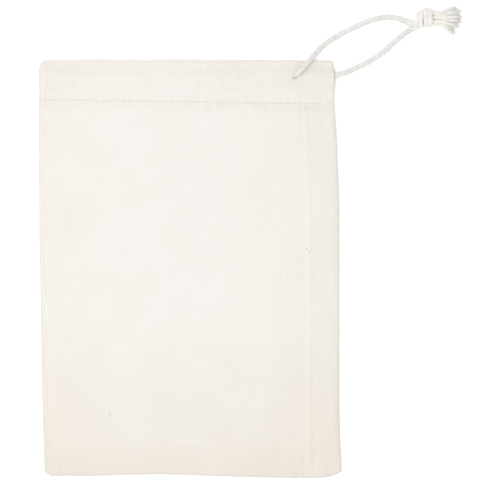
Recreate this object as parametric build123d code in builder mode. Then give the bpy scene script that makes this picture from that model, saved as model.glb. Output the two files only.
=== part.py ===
"""Natural muslin drawstring sack, lying flat and empty.

Millimetres, +Z up. The back panel lies on z = 0, the mouth faces +Y, and the
origin is under the middle of the cloth. The cloth is folded along the left
side and sewn along the bottom and the right side, with the seams inside. The
drawstring runs round inside the casing at the mouth. One leg comes out of a
hole in the front casing and the other out of a gap in the right side seam.
"""

import os
from math import cos, pi, radians, sin, tan

from build123d import *

# ---------------------------------------------------------------- sizes
bag_width = 127.0  # straight across the bag at any height
bag_height = 178.0  # bottom seam to the fold of the mouth
lean = 3.0  # how far the mouth lies to the left of the bottom
cloth = 0.4  # one layer of washed muslin
casing_height = 18.0  # fold of the mouth to the casing's stitched row
cord_diameter = 2.0
cord_room = 0.2  # free space between the cord and the casing, all round
mouth_gap = 4.6  # clear height of the mouth where it stands open
ply_room = 0.1  # between two casings that lie on each other, and under the cord

allowance_width = 13.6  # raw edge to seam on the right side
allowance_height = 14.0  # raw edge to seam at the bottom
seam_inset = 2.0  # seam line to the edge of the bag
fold_width = 1.5  # strip of cloth that makes the left fold
corner_round = 4.0  # the two lower corners, seen from above

left_rise = 5.0  # run of the steep left side of the crown
right_rise = 37.0  # run of the gentle right side of the crown
bottom_rise = 30.0  # run of the crown's slope above the bottom seam
mouth_ramp = 13.0  # run over which the front casing comes down to the back one

hole_from_right = 16.2  # middle of the front hole to the right side
hole_above_cord = 1.6  # middle of the front hole above the cord's line
hole_length = 6.6
hole_width = 3.6
hole_turn = 39.0  # degrees from the mouth's line, the way the leg leaves
leg_start_from_right = 20.5  # where the front leg starts, inside the casing
cord_below_mouth = 6.7  # cord's middle in the casing to the fold of the mouth

stitch_length = 2.2
stitch_gap = 0.7
thread_width = 0.35
thread_height = 0.2
overlock_pitch = 3.0
overlock_reach = 3.0  # width of the overlock band on the allowance
row_margin = 3.0  # free end of each row of stitches
tack_length = 4.0  # bar tack below the side gap
tack_rows = 5

knot_diameter = 8.7
knot_height = 6.8
knot_round = 3.0
ply_diameter = 1.0
lower_root = 2.2  # heights of the two layers of plies where they leave the knot
upper_root = 4.1
cord_let_in = 0.5  # how far each ply is let into the knot

# ---------------------------------------------------------------- worked out
half_width = bag_width / 2
half_height = bag_height / 2
stitch_line = half_height - casing_height
cord_line = half_height - cord_below_mouth
casing_band = 2 * (cloth + cord_room) + cord_diameter
channel = casing_band - 2 * cloth
lower_mid = casing_band / 2  # middle of the back casing
upper_mid = casing_band + mouth_gap + casing_band / 2  # front casing, mouth open
closed_mid = casing_band * 1.5 + ply_room  # front casing, lying on the back one
rim = 3 * cloth  # back panel and two layers of allowance
crown = casing_band + mouth_gap + cloth  # top of the front panel

casing_left = -half_width - lean / 2
casing_right = half_width - lean / 2
fold_radius = (upper_mid - lower_mid) / 2
fold_centre = casing_left + fold_radius + casing_band / 2
ramp_start = casing_right - right_rise
ramp_end = ramp_start + mouth_ramp
hole_middle = casing_right - hole_from_right
hole_entry = casing_right - leg_start_from_right


def side(edge, y):
    """X of the left (-1) or right (+1) side of the leaning bag at height y."""
    return edge * half_width - lean / 2 * y / half_height


def corners(left, right, bottom, top):
    """The four corners of the leaning outline, drawn in from each side."""
    low, high = -half_height + bottom, top
    return [
        (side(-1, low) + left, low),
        (side(1, low) - right, low),
        (side(1, high) - right, high),
        (side(-1, high) + left, high),
    ]


def finish(piece, name):
    """Label one piece and write its file."""
    piece.part.label = name
    export_step(piece.part, f"parts/{name}.step")
    print(f"{name}: {len(piece.part.solids())} solids, {piece.part.volume:.1f} mm3")


os.makedirs("parts", exist_ok=True)

# ---------------------------------------------------------------- panels
with BuildPart() as back_panel:
    with BuildSketch():
        Polygon(*corners(0, 0, 0, stitch_line), align=None)
        lower = vertices().group_by(Axis.Y)[0]
        fillet(lower, corner_round)
    extrude(amount=cloth)
finish(back_panel, "back_panel")

# The front panel is a crown: a tray upside down, open towards the casing.
rise = crown - rim


def crown_inset(run):
    """Sideways step that leaves one cloth thickness on a slope of this run."""
    slope_length = (run**2 + rise**2) ** 0.5
    return cloth * slope_length / rise


insets = [crown_inset(run) for run in (left_rise, right_rise, bottom_rise)]
runs = (left_rise, right_rise, bottom_rise)
under = [step + run * (rise - cloth) / rise for step, run in zip(insets, runs)]

with BuildPart() as front_panel:
    with BuildSketch(Plane.XY.offset(rim)):
        Polygon(*corners(0, 0, 0, stitch_line), align=None)
    with BuildSketch(Plane.XY.offset(crown)):
        Polygon(*corners(*runs, stitch_line), align=None)
    loft(ruled=True)
    with BuildSketch(Plane.XY.offset(rim)):
        Polygon(*corners(*insets, stitch_line), align=None)
    with BuildSketch(Plane.XY.offset(crown - cloth)):
        Polygon(*corners(*under, stitch_line), align=None)
    loft(ruled=True, mode=Mode.SUBTRACT)
finish(front_panel, "front_panel")

# ---------------------------------------------------------------- edges inside
with BuildPart() as left_fold:
    with BuildSketch(Plane.XY.offset(cloth)):
        Polygon(*corners(0, bag_width - fold_width, corner_round, stitch_line), align=None)
    extrude(amount=rim - cloth)
finish(left_fold, "left_fold")

with BuildPart() as right_seam_allowance:
    with BuildSketch(Plane.XY.offset(cloth)):
        Polygon(
            *corners(bag_width - allowance_width, 0, allowance_height, stitch_line),
            align=None,
        )
    extrude(amount=rim - cloth)
finish(right_seam_allowance, "right_seam_allowance")

with BuildPart() as bottom_seam_allowance:
    with BuildSketch(Plane.XY.offset(cloth)):
        Polygon(*corners(0, 0, 0, -half_height + allowance_height), align=None)
        Polygon(
            *corners(-1, bag_width - fold_width, corner_round, stitch_line),
            align=None,
            mode=Mode.SUBTRACT,
        )
        fillet(vertices().group_by(Axis.Y)[0], corner_round)
    extrude(amount=rim - cloth)
finish(bottom_seam_allowance, "bottom_seam_allowance")

# ---------------------------------------------------------------- casing
casing_mid_y = stitch_line + casing_height / 2


def front_band(thickness, height):
    """A strip that follows the front casing from the fold to the right side."""
    with BuildPart(mode=Mode.PRIVATE) as band:
        with BuildSketch(Plane.XZ.offset(-casing_mid_y)):
            with BuildLine() as middle:
                Polyline(
                    (fold_centre, upper_mid),
                    (ramp_start, upper_mid),
                    (ramp_end, closed_mid),
                    (casing_right, closed_mid),
                )
            trace(middle.line, thickness)
        extrude(amount=height / 2, both=True)
    return band.part


outer_band = front_band(casing_band, casing_height)
inner_band = front_band(channel, casing_height - 2 * cloth)

with BuildPart() as front_casing:
    add(outer_band)
    add(inner_band, mode=Mode.SUBTRACT)
    with BuildSketch(Plane.XY.offset(closed_mid)):
        with Locations((hole_middle, cord_line + hole_above_cord)):
            SlotOverall(hole_length, hole_width, rotation=hole_turn)
    extrude(amount=casing_band, mode=Mode.SUBTRACT)
finish(front_casing, "front_casing")

back_length = casing_right - fold_centre
with BuildPart() as back_casing:
    with Locations((fold_centre + back_length / 2, casing_mid_y, lower_mid)):
        Box(back_length, casing_height, casing_band)
        Box(back_length, casing_height - 2 * cloth, channel, mode=Mode.SUBTRACT)
finish(back_casing, "back_casing")

# The tunnel turns round the left fold as a hollow half ring.
fold_axis = Plane.XZ.offset(-casing_mid_y)
fold_height = (upper_mid + lower_mid) / 2
half_side = (Align.MIN, Align.CENTER)


def half_ring(thickness, height):
    """Left half of a ring about the fold's axis."""
    with BuildPart(mode=Mode.PRIVATE) as ring:
        with BuildSketch(fold_axis):
            with Locations((fold_centre, fold_height)):
                Circle(fold_radius + thickness / 2)
                Circle(fold_radius - thickness / 2, mode=Mode.SUBTRACT)
            with Locations((fold_centre, fold_height)):
                Rectangle(bag_width, bag_height, align=half_side, mode=Mode.SUBTRACT)
        extrude(amount=height / 2, both=True)
    return ring.part


fold_outside = half_ring(casing_band, casing_height)
fold_channel = half_ring(channel, casing_height - 2 * cloth)

with BuildPart() as casing_fold:
    add(fold_outside)
    add(fold_channel, mode=Mode.SUBTRACT)
finish(casing_fold, "casing_fold")

# ---------------------------------------------------------------- thread
stitch_pitch = stitch_length + stitch_gap


def row_places(start, end, pitch):
    """Evenly spaced places for whole stitches between two ends."""
    count = int((end - start) // pitch)
    first = (start + end) / 2 - pitch * (count - 1) / 2
    return [first + pitch * i for i in range(count)]


casing_row_y = stitch_line + cloth
flat_row = row_places(fold_centre, ramp_start - row_margin, stitch_pitch)
low_row = row_places(ramp_end + row_margin, casing_right - row_margin, stitch_pitch)
front_row = [(x, upper_mid) for x in flat_row] + [(x, closed_mid) for x in low_row]

with BuildPart() as front_casing_stitches:
    for x, middle in front_row:
        with Locations((x, casing_row_y, middle + casing_band / 2 + thread_height / 2)):
            Box(stitch_length, thread_width, thread_height)
finish(front_casing_stitches, "front_casing_stitches")

with BuildPart() as back_casing_stitches:
    for x in flat_row:
        with Locations((x, casing_row_y, casing_band + thread_height / 2)):
            Box(stitch_length, thread_width, thread_height)
finish(back_casing_stitches, "back_casing_stitches")

seam_top = rim + thread_height / 2
right_low = -half_height + allowance_height + row_margin
right_high = stitch_line - row_margin

with BuildPart() as right_seam_stitches:
    for y in row_places(right_low, right_high, stitch_pitch):
        with Locations((side(1, y) - 2 * seam_inset, y, seam_top)):
            Box(thread_width, stitch_length, thread_height)
finish(right_seam_stitches, "right_seam_stitches")

bottom_y = -half_height + 2 * seam_inset
bottom_left = side(-1, bottom_y) + corner_round + row_margin
bottom_right = side(1, bottom_y) - corner_round - row_margin

with BuildPart() as bottom_seam_stitches:
    for x in row_places(bottom_left, bottom_right, stitch_pitch):
        with Locations((x, bottom_y, seam_top)):
            Box(stitch_length, thread_width, thread_height)
finish(bottom_seam_stitches, "bottom_seam_stitches")

overlock_half = overlock_reach / 2

with BuildPart() as right_overlock:
    for y in row_places(right_low, right_high, overlock_pitch):
        with Locations((side(1, y) - allowance_width + overlock_half, y, seam_top)):
            Box(overlock_reach, thread_width, thread_height)
finish(right_overlock, "right_overlock")

overlock_y = -half_height + allowance_height - overlock_half
overlock_left = side(-1, overlock_y) + left_rise + row_margin
overlock_right = side(1, overlock_y) - allowance_width - row_margin

with BuildPart() as bottom_overlock:
    for x in row_places(overlock_left, overlock_right, overlock_pitch):
        with Locations((x, overlock_y, seam_top)):
            Box(thread_width, overlock_reach, thread_height)
finish(bottom_overlock, "bottom_overlock")

tack_x = casing_right - tack_length
tack_start = stitch_line + 2 * cloth + thread_width
tack_top = closed_mid + casing_band / 2 + thread_height / 2

with BuildPart() as side_gap_tack:
    for i in range(tack_rows):
        with Locations((tack_x, tack_start + 2 * thread_width * i, tack_top)):
            Box(tack_length, thread_width, thread_height)
finish(side_gap_tack, "side_gap_tack")

# ---------------------------------------------------------------- cord in the casing
cord_radius = cord_diameter / 2
arc_share = 0.45  # part of a run that each arc of the cord takes up
ramp_arc = 3 * cord_diameter


with BuildPart() as drawstring_front_run:
    with BuildLine() as front_route:
        FilletPolyline(
            (fold_centre, cord_line, upper_mid),
            (ramp_start, cord_line, upper_mid),
            (ramp_end, cord_line, closed_mid),
            (hole_entry, cord_line, closed_mid),
            radius=[ramp_arc, ramp_arc],
        )
    with BuildSketch(Plane(origin=front_route.line @ 0, z_dir=front_route.line % 0)):
        Circle(cord_radius)
    sweep(path=front_route.line)
finish(drawstring_front_run, "drawstring_front_run")

with BuildPart() as drawstring_left_bend:
    with BuildLine() as bend:
        ThreePointArc(
            (fold_centre, cord_line, upper_mid),
            (fold_centre - fold_radius, cord_line, fold_height),
            (fold_centre, cord_line, lower_mid),
        )
    with BuildSketch(Plane(origin=bend.line @ 0, z_dir=bend.line % 0)):
        Circle(cord_radius)
    sweep(path=bend.line)
finish(drawstring_left_bend, "drawstring_left_bend")

with BuildPart() as drawstring_back_run:
    with BuildSketch(Plane.YZ.offset(fold_centre)):
        with Locations((cord_line, lower_mid)):
            Circle(cord_radius)
    extrude(amount=back_length)
finish(drawstring_back_run, "drawstring_back_run")

# ---------------------------------------------------------------- free legs
floor_line = cord_radius + ply_room

# Both routes are laid out from the corner where the sewn side meets the mouth.
mouth_corner = Vector(casing_right, half_height, 0)

# Out of the front hole, over the fold of the mouth, down and along the table.
front_leg_laid = [
    (-leg_start_from_right, -cord_below_mouth, closed_mid),
    (-18.3, -cord_below_mouth, closed_mid),
    (-11.4, -1.0, 10.4),
    (-6.0, 5.4, 6.2),
    (0.0, 9.9, 1.6),
    (8.5, 14.4, floor_line),
    (16.9, 18.0, floor_line),
    (25.2, 18.6, 1.4),
    (30.6, 16.2, 2.4),
    (34.6, 16.2, 3.1),
]
# Out of the side gap and along the table to the knot.
side_leg_laid = [
    (0.0, -cord_below_mouth, lower_mid),
    (3.2, -cord_below_mouth, lower_mid),
    (8.0, -3.7, floor_line),
    (14.4, -0.3, floor_line),
    (20.0, 2.8, floor_line),
    (26.6, 8.6, 1.3),
    (31.2, 12.6, 2.0),
    (35.4, 14.4, 2.6),
]


def route_radii(points):
    """The largest arc at each corner that its two runs leave room for."""
    radii = []
    for before, here, after in zip(points, points[1:], points[2:]):
        arriving, leaving = here - before, after - here
        turn = radians(arriving.get_angle(leaving))
        shorter = min(arriving.length, leaving.length)
        radii.append(arc_share * shorter / tan(turn / 2))
    return radii


def leg(laid, name):
    """A free leg of cord along a route, with its radii and length printed."""
    points = [mouth_corner + Vector(*step) for step in laid]
    radii = route_radii(points)
    with BuildPart(mode=Mode.PRIVATE) as body:
        with BuildLine() as route:
            FilletPolyline(*points, radius=radii)
        with BuildSketch(Plane(origin=route.line @ 0, z_dir=route.line % 0)):
            Circle(cord_radius)
        sweep(path=route.line)
    along = route.wire().length
    filled = body.part.volume / (pi * cord_radius**2)
    print(f"{name}: radii", [round(radius, 1) for radius in radii])
    print(f"{name}: {along:.2f} mm long, volume over section {filled:.2f} mm")
    return body.part


front_leg = leg(front_leg_laid, "drawstring_front_leg")
side_leg = leg(side_leg_laid, "drawstring_side_leg")

with BuildPart() as drawstring_front_leg:
    add(front_leg)
finish(drawstring_front_leg, "drawstring_front_leg")

with BuildPart() as drawstring_side_leg:
    add(side_leg)
finish(drawstring_side_leg, "drawstring_side_leg")

# ---------------------------------------------------------------- knot and ends
knot_centre = mouth_corner + Vector(37.6, 17.0, knot_height / 2)
ply_low = ply_diameter / 2 + ply_room
ply_roots = (lower_root, upper_root)

root_reach = knot_diameter / 2 - cord_let_in

# Each ply past the knot: angle at the knot, angle at the tip, reach, tip height.
front_plies_laid = [(42, 26, 13.0, 2.0), (26, 19, 14.3, ply_low), (10, 11, 15.4, 1.3)]
side_plies_laid = [(-6, 3, 16.0, ply_low), (-22, -11, 14.6, 1.5), (-38, -25, 13.4, ply_low)]


def around_knot(angle, reach, height):
    """A place at an angle and a reach from the middle of the knot."""
    return Vector(
        knot_centre.X + reach * cos(radians(angle)),
        knot_centre.Y + reach * sin(radians(angle)),
        height,
    )


def plies(laid):
    """One loosened ply, straight from the knot to its tip, for each row."""
    with BuildPart(mode=Mode.PRIVATE) as bundle:
        for i, (root_angle, tip_angle, reach, height) in enumerate(laid):
            root = around_knot(root_angle, root_reach, ply_roots[i % 2])
            tip = around_knot(tip_angle, reach, height)
            with BuildSketch(Plane(origin=root, z_dir=tip - root)):
                Circle(ply_diameter / 2)
            extrude(amount=(tip - root).length)
    return bundle.part


front_plies = plies(front_plies_laid)
side_plies = plies(side_plies_laid)

with BuildPart() as end_knot:
    with Locations(knot_centre):
        Cylinder(knot_diameter / 2, knot_height)
    fillet(edges().filter_by(GeomType.CIRCLE), knot_round)
    for entering in (front_leg, side_leg, front_plies, side_plies):
        add(entering, mode=Mode.SUBTRACT)
finish(end_knot, "end_knot")

with BuildPart() as front_frayed_end:
    add(front_plies)
finish(front_frayed_end, "front_frayed_end")

with BuildPart() as side_frayed_end:
    add(side_plies)
finish(side_frayed_end, "side_frayed_end")
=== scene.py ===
# %% [markdown]
# # A muslin drawstring sack, lying flat and empty
# The real object is three things: one piece of washed cotton muslin, one twisted cotton
# cord, and a few runs of sewing thread. The cloth is folded along the left side and sewn
# along the bottom and the right side with the seams inside. Its top edge is turned in and
# stitched down as a casing, and the cord runs round inside the casing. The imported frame
# gives every place and size, so this lesson starts by loading it.

# %% Load the frame
import math
import random

import bmesh
import bpy
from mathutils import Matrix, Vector, noise


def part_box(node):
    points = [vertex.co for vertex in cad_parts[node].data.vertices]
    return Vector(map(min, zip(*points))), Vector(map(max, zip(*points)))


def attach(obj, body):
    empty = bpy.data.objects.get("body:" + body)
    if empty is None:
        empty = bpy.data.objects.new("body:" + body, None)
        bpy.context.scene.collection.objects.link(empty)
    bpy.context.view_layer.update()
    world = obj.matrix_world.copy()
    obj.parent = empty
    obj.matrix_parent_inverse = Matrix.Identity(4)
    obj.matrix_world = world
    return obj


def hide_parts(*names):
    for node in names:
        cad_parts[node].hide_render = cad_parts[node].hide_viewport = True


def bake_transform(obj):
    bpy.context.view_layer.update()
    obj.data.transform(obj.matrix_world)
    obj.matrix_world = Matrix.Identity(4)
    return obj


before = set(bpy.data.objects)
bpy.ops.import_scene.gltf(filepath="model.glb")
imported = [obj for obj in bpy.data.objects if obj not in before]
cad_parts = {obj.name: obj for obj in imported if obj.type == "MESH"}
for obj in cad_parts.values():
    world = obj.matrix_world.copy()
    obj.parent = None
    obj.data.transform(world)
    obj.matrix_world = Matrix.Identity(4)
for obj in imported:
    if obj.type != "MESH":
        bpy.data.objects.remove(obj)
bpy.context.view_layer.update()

# %% [markdown]
# ## Millimetres
# Cloth is easier to think about in millimetres, and Blender works in metres. Every shape
# below is worked out in millimetres and made smaller once, when its mesh is written. The
# frame gives the corner where the sewn side meets the mouth, and the cord is placed from it.

# %% Millimetres, and the corner that the frame gives
MM = 0.001
casing_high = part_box("front_casing")[1] / MM
mouth_corner = Vector((casing_high.x, casing_high.y, 0))
print("mouth corner, mm:", [round(v, 2) for v in mouth_corner])

# %% [markdown]
# ## Camera
# A flat thing is shown from straight above. A long lens far away keeps both sides of the
# cloth upright, as a lens close by would splay them outwards.

# %% Camera straight above
VIEW_WIDTH = 0.2094  # metres of table across the view
VIEW_MIDDLE = (0.0235, 0.0100)
VIEW_HEIGHT = 1.5
FILM_WIDTH = 36.0

camera_data = bpy.data.cameras.new("studio_camera")
camera_data.sensor_width = FILM_WIDTH
camera_data.lens = camera_data.sensor_width * VIEW_HEIGHT / VIEW_WIDTH
camera_data.clip_end = 10
camera = bpy.data.objects.new("studio_camera", camera_data)
camera.location = (*VIEW_MIDDLE, VIEW_HEIGHT)
bpy.context.scene.collection.objects.link(camera)
bpy.context.scene.camera = camera
print("lens, mm:", round(camera_data.lens, 1))

# %% [markdown]
# ## The cord's routes
# A cord is settled before the cloth: where it leaves, how long it is and how it lies. One
# leg comes out of a hole in the front casing, goes over the fold of the mouth and lies on
# the table. The other leaves the open end of the back casing. Each route is a short list of
# points, given in millimetres from the corner where the sewn side meets the mouth.
# A NURBS spline of order 3 rounds it off, as a limp cord would.

# %% Routes of the two legs
CORD = 2.0  # mean diameter of the cord
FRONT_LEG = [
    (-20.5, -7.3, 2.8),
    (-18.4, -7.3, 3.2),
    (-15.7, -5.9, 5.9),
    (-11.5, -1.2, 4.0),
    (-6.6, 5.2, 2.4),
    (0.0, 9.9, 1.2),
    (8.5, 14.2, 1.2),
    (16.9, 17.6, 1.2),
    (24.6, 18.6, 1.2),
    (29.6, 16.6, 1.9),
    (33.4, 15.2, 2.4),
]
SIDE_LEG = [
    (-1.0, -6.7, 1.7),
    (3.2, -6.0, 1.5),
    (8.0, -3.7, 1.2),
    (14.4, -0.7, 1.2),
    (20.0, 2.8, 1.2),
    (26.0, 8.4, 1.2),
    (30.0, 11.6, 1.2),
    (33.4, 13.8, 1.2),
]


def spline_through(name, points):
    """A NURBS curve with these control points, in millimetres from the origin."""
    curve = bpy.data.curves.new(name, "CURVE")
    curve.dimensions = "3D"
    curve.resolution_u = 24
    spline = curve.splines.new("NURBS")
    spline.points.add(len(points) - 1)
    for knot, place in zip(spline.points, points):
        knot.co = (*(Vector(place) * MM), 1)
    spline.order_u = 3
    spline.use_endpoint_u = True
    return curve


def read_line(name, points):
    """The points that Blender gives along the NURBS spline, in millimetres."""
    curve = spline_through(name, points)
    guide = bpy.data.objects.new(name, curve)
    bpy.context.scene.collection.objects.link(guide)
    bpy.context.view_layer.update()
    mesh = bpy.data.meshes.new_from_object(guide)
    line = [vert.co / MM for vert in mesh.vertices]
    bpy.data.objects.remove(guide)
    bpy.data.meshes.remove(mesh)
    return line


def line_length(line):
    """Length along a line of points."""
    return sum((b - a).length for a, b in zip(line, line[1:]))


front_line = read_line("front_leg_route", [mouth_corner + Vector(p) for p in FRONT_LEG])
side_line = read_line("side_leg_route", [mouth_corner + Vector(p) for p in SIDE_LEG])
print("legs, mm:", round(line_length(front_line), 1), round(line_length(side_line), 1))

# %% [markdown]
# ## Twisted cord
# The cord is three soft strands laid together. Its section is a circle with three shallow
# lobes, and that section turns as it goes along. Blender's own curve can do this: the
# lobed section is the bevel object, and the tilt at each point turns it. The mesh that
# comes out is closed, and the grooves between the strands are real.

# %% A section with lobes, carried along a line
LAY_LENGTH = 8.0  # length of one full turn of the strands
STEP = 0.35  # from one ring of the cord's mesh to the next


def evenly(line, step):
    """The same line with its points evenly spaced."""
    total = line_length(line)
    count = max(3, round(total / step))
    out, walked, i = [line[0].copy()], 0.0, 0
    for k in range(1, count):
        goal = total * k / count
        while walked + (line[i + 1] - line[i]).length < goal:
            walked += (line[i + 1] - line[i]).length
            i += 1
        run = line[i + 1] - line[i]
        out.append(line[i] + run * ((goal - walked) / run.length))
    out.append(line[-1].copy())
    return out


def lobed_section(name, diameter, lobes, depth, points=24):
    """A closed flat curve: a circle with shallow lobes."""
    curve = bpy.data.curves.new(name, "CURVE")
    curve.dimensions = "2D"
    spline = curve.splines.new("POLY")
    spline.points.add(points - 1)
    for i, knot in enumerate(spline.points):
        angle = math.tau * i / points
        reach = diameter / 2 * (1 - depth * (0.5 - 0.5 * math.cos(lobes * angle)))
        knot.co = (reach * math.cos(angle) * MM, reach * math.sin(angle) * MM, 0, 1)
    spline.use_cyclic_u = True
    section = bpy.data.objects.new(name, curve)
    bpy.context.scene.collection.objects.link(section)
    return section


def laid_tube(name, lines, section, lay, radii=None, step=STEP, finish=0):
    """A mesh of the section carried along each line, turning once every lay millimetres.

    radii(n, part) gives the size of line n at a part of its length, and finish its material.
    """
    curve = bpy.data.curves.new(name, "CURVE")
    curve.dimensions = "3D"
    curve.twist_mode = "MINIMUM"
    curve.bevel_mode = "OBJECT"
    curve.bevel_object = section
    curve.use_fill_caps = True
    for n, line in enumerate(lines):
        even = evenly(line, step)
        spline = curve.splines.new("POLY")
        spline.points.add(len(even) - 1)
        gone = 0.0
        for i, knot in enumerate(spline.points):
            knot.co = (*(even[i] * MM), 1)
            knot.tilt = math.tau * gone / lay + n
            knot.radius = 1.0 if radii is None else radii(n, i / (len(even) - 1))
            if i + 1 < len(even):
                gone += (even[i + 1] - even[i]).length
    along = sum(line_length(line) for line in lines) / len(lines)
    around = math.tau * max(knot.co.x for knot in section.data.splines[0].points) / MM
    return meshed(name, curve, finish, (along, around))


def meshed(name, curve, finish, lay):
    """The curve's surface as a mesh object at the origin, with one finish of the piece's list.

    Its UV map is in millimetres: along the line, and round the section, which turns with it.
    """
    maker = bpy.data.objects.new(name + "_maker", curve)
    bpy.context.scene.collection.objects.link(maker)
    depsgraph = bpy.context.evaluated_depsgraph_get()
    mesh = bpy.data.meshes.new_from_object(maker.evaluated_get(depsgraph))
    bpy.data.objects.remove(maker)
    mesh.name = name
    mesh.polygons.foreach_set("use_smooth", [True] * len(mesh.polygons))
    mesh.polygons.foreach_set("material_index", [finish] * len(mesh.polygons))
    mesh.uv_layers[0].name = "lay"
    for corner in mesh.uv_layers["lay"].data:
        corner.uv = (corner.uv.x * lay[0], corner.uv.y * lay[1])
    piece = bpy.data.objects.new(name, mesh)
    bpy.context.scene.collection.objects.link(piece)
    return piece


STRANDS = 3
STRANDED = 2.4  # over the crowns of the strands; its mean is the cord's diameter
cord_section = lobed_section("cord_section", STRANDED, STRANDS, 0.26)
front_leg = laid_tube("front_leg_cord", [front_line], cord_section, LAY_LENGTH)
side_leg = laid_tube("side_leg_cord", [side_line], cord_section, LAY_LENGTH)
print("leg faces:", len(front_leg.data.polygons), len(side_leg.data.polygons))

# %% [markdown]
# ## The knot
# Both legs go into one overhand knot. From above it shows two bands across the pull, each
# two cords wide, because the doubled cord is wrapped round itself. Each cord comes in low,
# goes over the top, back underneath and over the top again, and tucks into the neck. The
# wraps nearer the neck are larger. A wrap is given by a few rows: its turn in degrees, how
# far along the knot it is, its reach, and how far its middle is to one side.

# %% The wraps of the knot
KNOT_MIDDLE = mouth_corner + Vector((37.4, 17.9, 3.4))
FLATTENED = 0.85  # height of a wrap as a share of its width
LEAST_HEIGHT = STRANDED / 2 + 0.05  # of a cord's middle, so that it clears the table
WRAP_STEP = 30  # degrees from one point of a wrap to the next
FRONT_WRAPS = [
    (205, -3.3, 1.9, -1.0),
    (150, -3.0, 2.0, -0.9),
    (0, -1.9, 2.0, -0.6),
    (-90, -0.6, 2.0, -0.4),
    (-180, 1.1, 2.9, -0.2),
    (-270, 1.25, 3.3, 0.0),
    (-360, 0.8, 3.3, 0.2),
    (-420, 1.9, 1.6, 0.3),
]
SIDE_WRAPS = [
    (205, -1.5, 2.5, -0.8),
    (150, -1.2, 2.5, -0.6),
    (0, -0.5, 2.6, -0.2),
    (-90, 1.0, 2.0, -0.2),
    (-180, 2.5, 2.7, -0.2),
    (-270, 2.95, 3.1, -0.1),
    (-360, 2.5, 3.0, 0.1),
    (-430, 2.9, 1.4, -0.3),
]


def in_knot(along, across, up):
    """A place given from the knot's middle, kept a cord's radius above the table."""
    place = KNOT_MIDDLE + Vector((along, across, up))
    place.z = max(place.z, LEAST_HEIGHT)
    return place


def wrap_route(leg, rows, tail):
    """One cord through the knot: the end of its leg, its wraps, and the start of its tail."""
    route = [leg[-10], leg[-1]]
    for row, following in zip(rows, rows[1:]):
        steps = max(1, round(abs(following[0] - row[0]) / WRAP_STEP))
        for i in range(steps):
            part = i / steps
            turn, along, reach, aside = (a + (b - a) * part for a, b in zip(row, following))
            across = aside + reach * math.cos(math.radians(turn))
            route.append(in_knot(along, across, FLATTENED * reach * math.sin(math.radians(turn))))
    return route + [in_knot(2.9, 1.0 * tail, -0.3), in_knot(3.7, 1.1 * tail, -0.5)]


front_wrap = read_line("front_wrap", wrap_route(front_line, FRONT_WRAPS, 1))
side_wrap = read_line("side_wrap", wrap_route(side_line, SIDE_WRAPS, -1))
knot = laid_tube("wrapped_knot", [front_wrap, side_wrap], cord_section, LAY_LENGTH)
print("cord in the knot, mm:", round(line_length(front_wrap)), round(line_length(side_wrap)))

# %% [markdown]
# ## Frayed ends
# Past the knot nothing holds the twist, so each tail opens into its plies, and each ply
# opens into loose fibres towards its tip. A ply is a thin tube that gets thinner, and the
# fibres are fine hairs that start on it and wander. All of them are splines in one curve,
# so a whole end is one mesh.

# %% Plies and fibres
PLY = 1.95  # an opened ply puffs up to nearly the cord's own thickness
PLY_LAY = 5.0
FIBRE = 0.08
FIBRE_LAY = 9.0
FIBRES_PER_PLY = 110
TIP_LOSS = 0.62  # how much thinner a ply is at its tip
ply_section = lobed_section("ply_section", PLY, 3, 0.24, 12)
fibre_section = lobed_section("fibre_section", FIBRE, 1, 0.0, 5)
# Each ply: across and up in the neck, where it leaves the others, and its tip from the middle.
# The last rows of each tail are shorter plies that lie under the others and fill the fan.
FRONT_PLIES = [
    (1.75, -0.2, 6.6, 13.1, 4.4),
    (0.95, -0.9, 9.0, 15.0, 2.8),
    (0.1, -0.1, 10.0, 15.6, 0.7),
    (1.35, -1.5, 7.8, 13.7, 3.5),
    (0.5, -1.5, 9.2, 14.4, 1.7),
]
SIDE_PLIES = [
    (-0.75, -0.9, 9.8, 15.2, -1.2),
    (-1.6, -0.2, 8.8, 14.4, -3.4),
    (-2.0, -1.4, 6.0, 12.5, -6.0),
    (-0.3, -1.5, 9.4, 14.6, -0.2),
    (-1.2, -1.5, 8.8, 14.0, -2.3),
    (-1.8, -1.6, 7.2, 12.6, -4.6),
]


def ply_line(across, up, leaves, tip_along, tip_across):
    """One ply, along the neck and out to its tip on the table."""
    neck = [in_knot(2.0, across * 0.6, up * 0.5), in_knot(3.6, across, up)]
    bend = [in_knot(leaves - 2, across * 1.04, up), in_knot(leaves, across * 1.08, up - 0.3)]
    tip = in_knot(tip_along, tip_across, -2.6)
    tip.z = PLY * 0.3
    middle = bend[-1].lerp(tip, 0.5)
    middle.z += 0.2
    return read_line("ply_route", [*neck, *bend, middle, tip])


def any_way(rng):
    """A random direction, not yet of length one."""
    return Vector((rng.uniform(-1, 1), rng.uniform(-1, 1), rng.uniform(-1, 1)))


def wander(rng, start, heading, length, spread, steps=5):
    """One loose fibre, which turns a little at each step and stays above the table."""
    line, place, way = [start.copy()], start.copy(), heading.normalized()
    for _ in range(steps):
        kick = Vector((rng.uniform(-1, 1), rng.uniform(-1, 1), rng.uniform(-0.6, 0.5)))
        way = (way + kick * spread).normalized()
        place = place + way * (length / steps)
        place.z = max(place.z, FIBRE)
        line.append(place.copy())
    return line


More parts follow.
